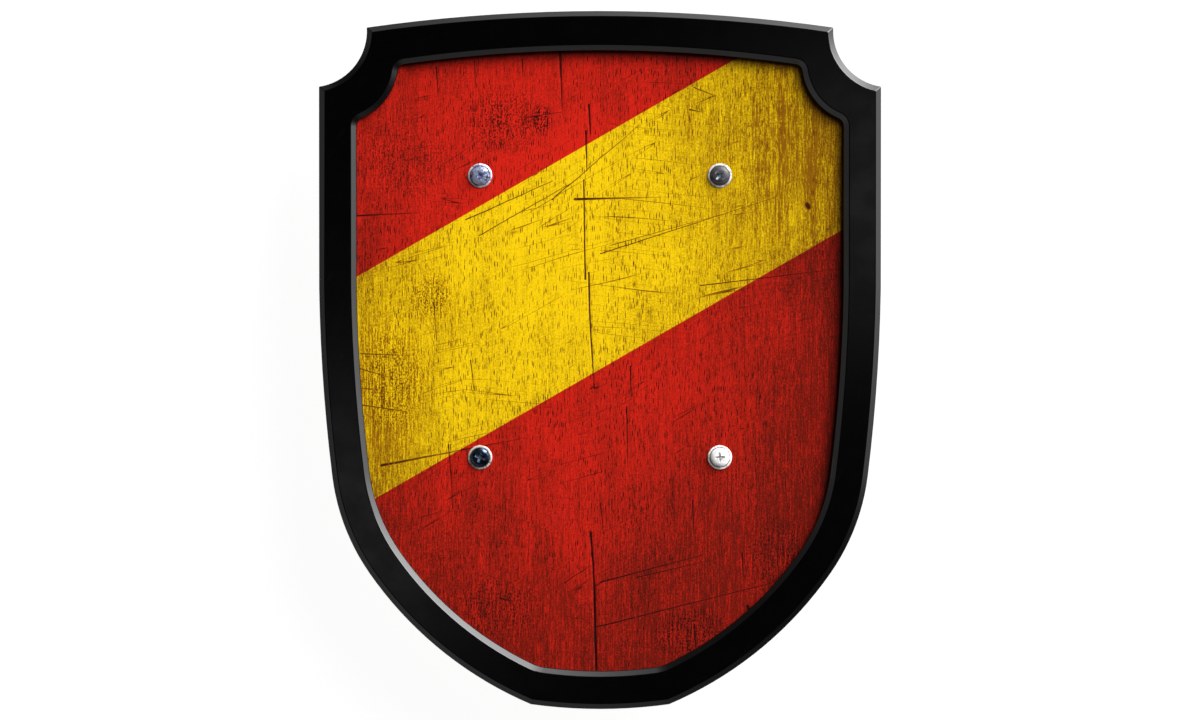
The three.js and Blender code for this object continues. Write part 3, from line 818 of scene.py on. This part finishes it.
# where: turn of the recess in degrees and a name for its look; then for the head, its flange and its
# recess the bright colour, the dark colour, how metallic, how rough, and the shift of its tarnish
# Except at the bottom right, the flanges and recesses are lighter than their heads: painted highlights, a
# light ring round each flange and a lit cross in each recess.
head_looks = {
    "top_left": (
        24, "blued",
        ((0.42, 0.46, 0.66, 1), (0.045, 0.055, 0.12, 1), 0.55, 0.34, 1.3),
        ((0.7, 0.7, 0.8, 1), (0.16, 0.17, 0.24, 1), 0.35, 0.4, 2.1),
        ((0.52, 0.57, 0.8, 1), (0.1, 0.12, 0.22, 1), 0.35, 0.4, 0),
    ),
    "top_right": (
        52, "greyed",
        ((0.085, 0.08, 0.085, 1), (0.03, 0.028, 0.032, 1), 0.3, 0.45, 3.4),
        ((0.82, 0.8, 0.8, 1), (0.3, 0.28, 0.3, 1), 0.25, 0.45, 0.7),
        ((0.5, 0.56, 0.64, 1), (0.05, 0.05, 0.06, 1), 0.3, 0.4, 0),
    ),
    "bottom_left": (
        -22, "mirror",
        ((0.055, 0.078, 0.125, 1), (0.002, 0.004, 0.01, 1), 0.9, 0.15, 5.2),
        ((0.62, 0.58, 0.52, 1), (0.14, 0.14, 0.16, 1), 0.25, 0.42, 4.4),
        ((0.3, 0.38, 0.5, 1), (0.02, 0.02, 0.03, 1), 0.35, 0.3, 0),
    ),
    # a painted highlight: this head, its flange and its recess are painted near white and unmetallic
    "bottom_right": (
        5, "painted_highlight_white",
        ((0.94, 0.94, 0.93, 1), (0.72, 0.7, 0.68, 1), 0, 0.55, 6.5),
        ((0.93, 0.92, 0.9, 1), (0.55, 0.53, 0.5, 1), 0, 0.55, 1.9),
        ((0.9, 0.9, 0.9, 1), (0.6, 0.58, 0.55, 1), 0, 0.5, 0),
    ),
}

shank = [(0.0, -SHANK_LENGTH), (SHANK_RADIUS - SHANK_CHAMFER, -SHANK_LENGTH)]
shank += [(SHANK_RADIUS, SHANK_CHAMFER - SHANK_LENGTH), (SHANK_RADIUS, 0.0)]
blank = spun([*shank, *head_profile, (0.0, HEAD_HEIGHT)])
for turn in (0, 90):
    wing = bmesh.new()
    for v in bmesh.ops.create_cube(wing, size=1.0)["verts"]:
        deep = v.co.z < 0
        v.co.x *= (RECESS_LENGTH - (RECESS_TAPER[0] if deep else 0)) * MM
        v.co.y *= (RECESS_WIDTH - (RECESS_TAPER[1] if deep else 0)) * MM
        v.co.z = (HEAD_HEIGHT - RECESS_DEPTH if deep else HEAD_HEIGHT) * MM
    upper = [v for v in wing.verts if v.co.z > HEAD_HEIGHT / 2 * MM]
    bmesh.ops.translate(wing, verts=upper, vec=(0, 0, CUTTER_OVER * MM))
    turned = Matrix.Rotation(math.radians(turn), 3, "Z")
    bmesh.ops.rotate(wing, verts=wing.verts, cent=(0, 0, 0), matrix=turned)
    blank = cut_away(blank, wing)
blank.normal_update()
for f in blank.faces:
    middle = f.calc_center_median() / MM
    radius = middle.xy.length
    sunk = f.normal.z < HEAD_TOP_LEAN or middle.z < RECESS_TOP
    if radius > FLANGE_INSIDE:
        f.material_index = FLANGE
    elif radius > JOINT_INSIDE:
        f.material_index = JOINT
    elif radius < RECESS_LENGTH / 2 and middle.z > 0 and sunk:
        f.material_index = RECESS
    else:
        f.material_index = HEAD

for spot, (turn, wear, *looks) in head_looks.items():
    low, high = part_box(f"screw_{spot}")
    seat = Matrix.Translation(((low.x + high.x) / 2, (low.y + high.y) / 2, field_z))
    bm = blank.copy()
    bmesh.ops.transform(bm, verts=bm.verts, matrix=seat @ Matrix.Rotation(math.radians(turn), 4, "Z"))
    finishes = [zinc(f"{wear} zinc {part}", *look) for part, look in zip(HEAD_PARTS, looks)]
    finishes.append(joint_grime)
    finish_piece(bm, f"pan_head_screw_{spot}", finishes, "zinc_steel", f"screw_{spot}", smooth_angle=28)
blank.free()


# ---------------------------------------------------------------- the washers
# Plain stamped M6 washers of zinc-plated steel with rounded edges. Each one spreads the load of
# its nut over the end of a strap.

WASHER_RADIUS = 9.0
WASHER_HOLE = 3.3
WASHER_THICKNESS = 1.6
WASHER_EDGE = 0.2

plate = zinc("zinc plate", (0.68, 0.69, 0.72, 1), (0.45, 0.46, 0.5, 1), 1, 0.3, shift=8)
inside, outside = WASHER_HOLE + WASHER_EDGE, WASHER_RADIUS - WASHER_EDGE
top_edge = WASHER_THICKNESS - WASHER_EDGE
washer_profile = [
    (inside, 0), (outside, 0), (WASHER_RADIUS, WASHER_EDGE), (WASHER_RADIUS, top_edge),
    (outside, WASHER_THICKNESS), (inside, WASHER_THICKNESS),
    (WASHER_HOLE, top_edge), (WASHER_HOLE, WASHER_EDGE),
]
for spot in head_looks:
    low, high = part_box(f"washer_{spot}")
    bm = spun([*washer_profile, washer_profile[0]])
    bmesh.ops.translate(bm, verts=bm.verts, vec=((low.x + high.x) / 2, (low.y + high.y) / 2, low.z))
    finish_piece(bm, f"flat_washer_{spot}", [plate], "zinc_steel", f"washer_{spot}", smooth_angle=50)


# ---------------------------------------------------------------- the cap nuts
# Domed M6 cap nuts, turned from hexagon bar and zinc plated. They hang under the washers and cover
# the screws' ends, so that no thread scratches the arm.

NUT_HEX_HEIGHT = 5.5
NUT_HEIGHT = 12.0
NUT_DOME_RADIUS = 4.7
NUT_RING_STEPS = 72
DOME_RINGS = 10
# half the nut's section, from the bottom of its bore to the foot of its dome: radius and height,
# and where it is a hexagon, how steeply its corners drop
nut_profile = [
    (3.3, -8.0), (3.3, -0.3), (3.6, 0.0), (4.8, 0.0), (5.0, -0.1, 0.55), (5.0, -5.05, -0.55),
    (4.85, -5.25), (NUT_DOME_RADIUS, -5.4),
]


def ring(bm, radius, height, corner_drop=None):
    """A ring of edges round the Z axis. With corner_drop it is a hexagon, not level at its corners."""
    corners = bmesh.ops.create_circle(bm, segments=NUT_RING_STEPS, radius=radius * MM)["verts"]
    for v in corners:
        rise = 0.0
        if corner_drop is not None:
            from_flat = math.atan2(v.co.y, v.co.x) % (math.pi / 3) - math.pi / 6
            v.co /= math.cos(from_flat)
            rise = -corner_drop * (v.co.length / MM - radius)
        v.co.z = (height + rise) * MM
    return [e for e in bm.edges if e.verts[0] in corners and e.verts[1] in corners]


def cap_nut():
    """The nut as it hangs, with its seat at height 0 and its dome below."""
    bm = bmesh.new()
    rings = [ring(bm, *step) for step in nut_profile]
    for i in range(1, DOME_RINGS):
        turn = i / DOME_RINGS * math.pi / 2
        drop = (NUT_HEIGHT - NUT_HEX_HEIGHT) * math.sin(turn)
        rings.append(ring(bm, NUT_DOME_RADIUS * math.cos(turn), -NUT_HEX_HEIGHT - drop))
    for lower, upper in zip(rings, rings[1:]):
        bmesh.ops.bridge_loops(bm, edges=[*lower, *upper])
    bmesh.ops.contextual_create(bm, geom=rings[0])
    crown = bmesh.ops.contextual_create(bm, geom=rings[-1])["faces"]
    tip = bmesh.ops.poke(bm, faces=crown)["verts"]
    tip[0].co.z = -NUT_HEIGHT * MM
    bmesh.ops.recalc_face_normals(bm, faces=bm.faces)
    return bm


nut = cap_nut()
for spot in head_looks:
    low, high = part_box(f"cap_nut_{spot}")
    bm = nut.copy()
    bmesh.ops.translate(bm, verts=bm.verts, vec=((low.x + high.x) / 2, (low.y + high.y) / 2, high.z))
    finish_piece(bm, f"domed_nut_{spot}", [plate], "zinc_steel", f"cap_nut_{spot}", smooth_angle=28)
nut.free()


# ---------------------------------------------------------------- the arm straps
# Two bands of brown saddle leather with round ends and burnished edges. Each stands off the board
# in an arch for an arm and is held by a screw through each end, under a washer and a cap nut.

STRAP_WIDTH = 28.0
STRAP_THICKNESS = 3.0
STRAP_ROUNDING = 0.9
STRAP_HOLE = 3.3
HOLE_FROM_END = 15.0
HOLE_STEPS = 40
PUNCH_LENGTH = 20.0
STRAP_CORNER = math.radians(60)
STRAP_STEP = 1.5
END_STEPS = 24
CHANNEL_INSET = 3.6
CHANNEL_HALF = 0.75
CHANNEL_DEPTH = 0.4
CHANNEL_FROM_END = 13.0
BURNISHED_WITHIN = (1.3, 0.3)
SLOPE = math.radians(60)
CROWN_HALF = 24.18
LOWER_BEND = 22.0
UPPER_BEND = 10.0
SLOPE_LENGTH = 27.71
TAB_LENGTH = 26.0

# half the strap from its crown to its end: the length and the curvature of each stretch
stretches = [
    (CROWN_HALF, 0.0), (LOWER_BEND * SLOPE, 1 / LOWER_BEND), (SLOPE_LENGTH, 0.0),
    (UPPER_BEND * SLOPE, -1 / UPPER_BEND), (TAB_LENGTH, 0.0),
]
strap_half = sum(length for length, _ in stretches)
hole_at = strap_half - HOLE_FROM_END
stitched_half = strap_half - CHANNEL_FROM_END
channel_at = STRAP_WIDTH / 2 - CHANNEL_INSET


def along_strap(s):
    """The strap's middle line at length s from its crown: how far along, how high, and its slope."""
    left, along, height, slope = abs(s), 0.0, STRAP_THICKNESS / 2, 0.0
    for length, curvature in stretches:
        step = min(left, length)
        if curvature:
            along += (math.sin(slope + curvature * step) - math.sin(slope)) / curvature
            height += (math.cos(slope) - math.cos(slope + curvature * step)) / curvature
            slope += curvature * step
        else:
            along += step * math.cos(slope)
            height += step * math.sin(slope)
        left -= step
    return (-along, height, -slope) if s < 0 else (along, height, slope)


def bend_strap(bm, centre):
    """Takes a flat strap, with its length along Y, to its arch behind the board."""
    for v in bm.verts:
        along, height, slope = along_strap(v.co.y / MM)
        rise = v.co.z / MM
        v.co.x += centre.x
        v.co.y = centre.y + (along - rise * math.sin(slope)) * MM
        v.co.z = max(0.0, (height + rise * math.cos(slope)) * MM)


def on_outline(e):
    """Whether an edge lies along the strap's outline, and not round a hole or up a side."""
    x, y, z = e.verts[0].co / MM
    clear_of_hole = abs(hole_at - abs(y)) + abs(x) > STRAP_HOLE * 1.5
    return clear_of_hole and abs(z - e.verts[1].co.z / MM) < STRAP_THICKNESS / 2


def strap_blank():
    """The flat strap: punched at both ends, rounded along its edges, with its stitching channels."""
    bm = bmesh.new()
    radius = STRAP_WIDTH / 2
    outline = []
    for end in (1, -1):
        for i in range(END_STEPS + 1):
            turn = math.pi * i / END_STEPS
            x, y = radius * math.cos(turn), strap_half - radius + radius * math.sin(turn)
            outline.append(bm.verts.new((end * x * MM, end * y * MM, -STRAP_THICKNESS / 2 * MM)))
    sole = bmesh.ops.contextual_create(bm, geom=outline)["faces"]
    raised = bmesh.ops.extrude_face_region(bm, geom=sole)["geom"]
    raised = [v for v in raised if isinstance(v, bmesh.types.BMVert)]
    bmesh.ops.translate(bm, verts=raised, vec=(0, 0, STRAP_THICKNESS * MM))
    bmesh.ops.recalc_face_normals(bm, faces=bm.faces)
    for end in (1, -1):
        punch = bmesh.new()
        bmesh.ops.create_cone(
            punch, cap_ends=True, segments=HOLE_STEPS, radius1=STRAP_HOLE * MM, radius2=STRAP_HOLE * MM,
            depth=PUNCH_LENGTH * MM, matrix=Matrix.Translation((0, end * hole_at * MM, 0)),
        )
        bm = cut_away(bm, punch)
    bm.normal_update()
    edges = [
        e for e in bm.edges
        if len(e.link_faces) == 2 and e.calc_face_angle() > STRAP_CORNER and on_outline(e)
    ]
    bmesh.ops.bevel(
        bm, geom=edges, offset=STRAP_ROUNDING * MM, segments=4, profile=0.5, affect="EDGES", material=-1,
    )
    s = -strap_half + STRAP_STEP
    while s < strap_half:
        bmesh.ops.bisect_plane(
            bm, geom=[*bm.verts, *bm.edges, *bm.faces], plane_co=(0, s * MM, 0), plane_no=(0, 1, 0),
        )
        s += STRAP_STEP
    for side in (-1, 1):
        for off in (-CHANNEL_HALF, 0.0, CHANNEL_HALF):
            x = side * channel_at + off
            bmesh.ops.bisect_plane(
                bm, geom=[*bm.verts, *bm.edges, *bm.faces], plane_co=(x * MM, 0, 0), plane_no=(1, 0, 0),
            )
    for v in bm.verts:
        at_line = abs(abs(v.co.x) - channel_at * MM) < SAME_PLACE
        at_face = abs(abs(v.co.z) - STRAP_THICKNESS / 2 * MM) < SAME_PLACE
        if at_line and at_face and abs(v.co.y / MM) < stitched_half:
            v.co.z -= math.copysign(CHANNEL_DEPTH * MM, v.co.z)
    bmesh.ops.dissolve_degenerate(bm, dist=NO_LENGTH, edges=bm.edges)
    return bm


# The leather: pebbled, creased across where it bends, darker and smoother along its edges.
LEATHER = (0.15, 0.06, 0.024, 1)
LEATHER_DARK = (0.05, 0.019, 0.009, 1)
LEATHER_WORN = (0.26, 0.125, 0.055, 1)

leather, tree, shader, coords = new_finish("saddle leather")
pebble = place(
    tree, "ShaderNodeTexVoronoi", {"Vector": coords, "Scale": 900.0}, feature="DISTANCE_TO_EDGE",
).outputs[0]
hide = mottled(tree, coords, (45, 45, 45), detail=5, roughness=0.6)
crease = mottled(tree, coords, (28, 480, 480), detail=4, roughness=0.6)
colour = tint(tree, fade(tree, hide, 0.38, 0.64), LEATHER, LEATHER_DARK)
colour = tint(tree, fade(tree, crease, 0.56, 0.68, 0.0, 0.55), colour, LEATHER_WORN)
colour = tint(tree, fade(tree, pebble, 0.10, 0.0, 0.0, 0.45), colour, LEATHER_DARK)
# the edges are darkest; a strap's own middle is at its box's middle
low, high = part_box("strap_right")
across_x = place(tree, "ShaderNodeSeparateXYZ", {0: coords}).outputs["X"]
off_middle = minus(tree, calc(tree, "ABSOLUTE", across_x), (low.x + high.x) / 2)
off_middle = calc(tree, "ABSOLUTE", off_middle)
burnished = fade(tree, off_middle, *[(STRAP_WIDTH / 2 - inset) * MM for inset in BURNISHED_WITHIN])
feed(shader, "Base Color", tint(tree, burnished, colour, LEATHER_DARK))
worn_smooth = fade(tree, hide, 0.35, 0.65, 0.42, 0.58)
worn_smooth = minus(tree, worn_smooth, times(tree, burnished, 0.16))
feed(shader, "Roughness", worn_smooth)
shader.inputs["Specular IOR Level"].default_value = 0.4
relief = plus(tree, fade(tree, pebble, 0.0, 0.25), times(tree, crease, 1.5))
bumped(tree, shader, relief, 0.5, 0.12 * MM)

flat_strap = strap_blank()
for side in ("left", "right"):
    low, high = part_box(f"strap_{side}")
    bm = flat_strap.copy()
    bend_strap(bm, (low + high) / 2)
    bm.normal_update()
    finish_piece(bm, f"leather_strap_{side}", [leather], "strap_leather", f"strap_{side}", smooth_angle=50)
flat_strap.free()


# ---------------------------------------------------------------- the stitching
# Waxed linen thread, sewn by hand along both edges of each strap. Its stitches lie slanted in the
# channel pressed for them on both faces, just below the leather's surface.

STITCH_PITCH = 4.2
STITCH_LENGTH = 3.4
THREAD_RADIUS = 0.34
THREAD_FLATTENED = 0.9
STITCH_SLANT = math.radians(7)
LINEN = (0.62, 0.5, 0.32, 1)
LINEN_DIRTY = (0.25, 0.17, 0.1, 1)

linen, tree, shader, coords = new_finish("waxed linen thread")
twist = mottled(tree, coords, (3200, 1300, 1300), detail=2)
soiled = mottled(tree, coords, (60, 60, 60), detail=4)
colour = tint(tree, fade(tree, soiled, 0.42, 0.62, 0.0, 0.8), LINEN, LINEN_DIRTY)
colour = tint(tree, fade(tree, twist, 0.5, 0.65, 0.0, 0.6), colour, LINEN_DIRTY)
feed(shader, "Base Color", colour)
feed(shader, "Roughness", fade(tree, twist, 0.35, 0.65, 0.5, 0.75))
bumped(tree, shader, twist, 0.5, 0.08 * MM)

stitch_count = int(2 * (stitched_half - 1) / STITCH_PITCH)
stitch_depth = STRAP_THICKNESS / 2 - THREAD_RADIUS
stitch_size = (THREAD_RADIUS * MM, STITCH_LENGTH / 2 * MM, THREAD_RADIUS * THREAD_FLATTENED * MM, 1)
for side in ("left", "right"):
    low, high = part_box(f"strap_{side}")
    bm = bmesh.new()
    for edge in (-1, 1):
        for face in (-1, 1):
            for i in range(stitch_count):
                s = (i - (stitch_count - 1) / 2) * STITCH_PITCH
                spot = Matrix.Translation(Vector((edge * channel_at, s, face * stitch_depth)) * MM)
                turn = Matrix.Rotation(STITCH_SLANT * edge * face, 4, "Z")
                placed = spot @ turn @ Matrix.Diagonal(stitch_size)
                bmesh.ops.create_uvsphere(bm, u_segments=8, v_segments=6, radius=1.0, matrix=placed)
    bend_strap(bm, (low + high) / 2)
    finish_piece(bm, f"stitching_{side}", [linen], "strap_leather", smooth_angle=60)
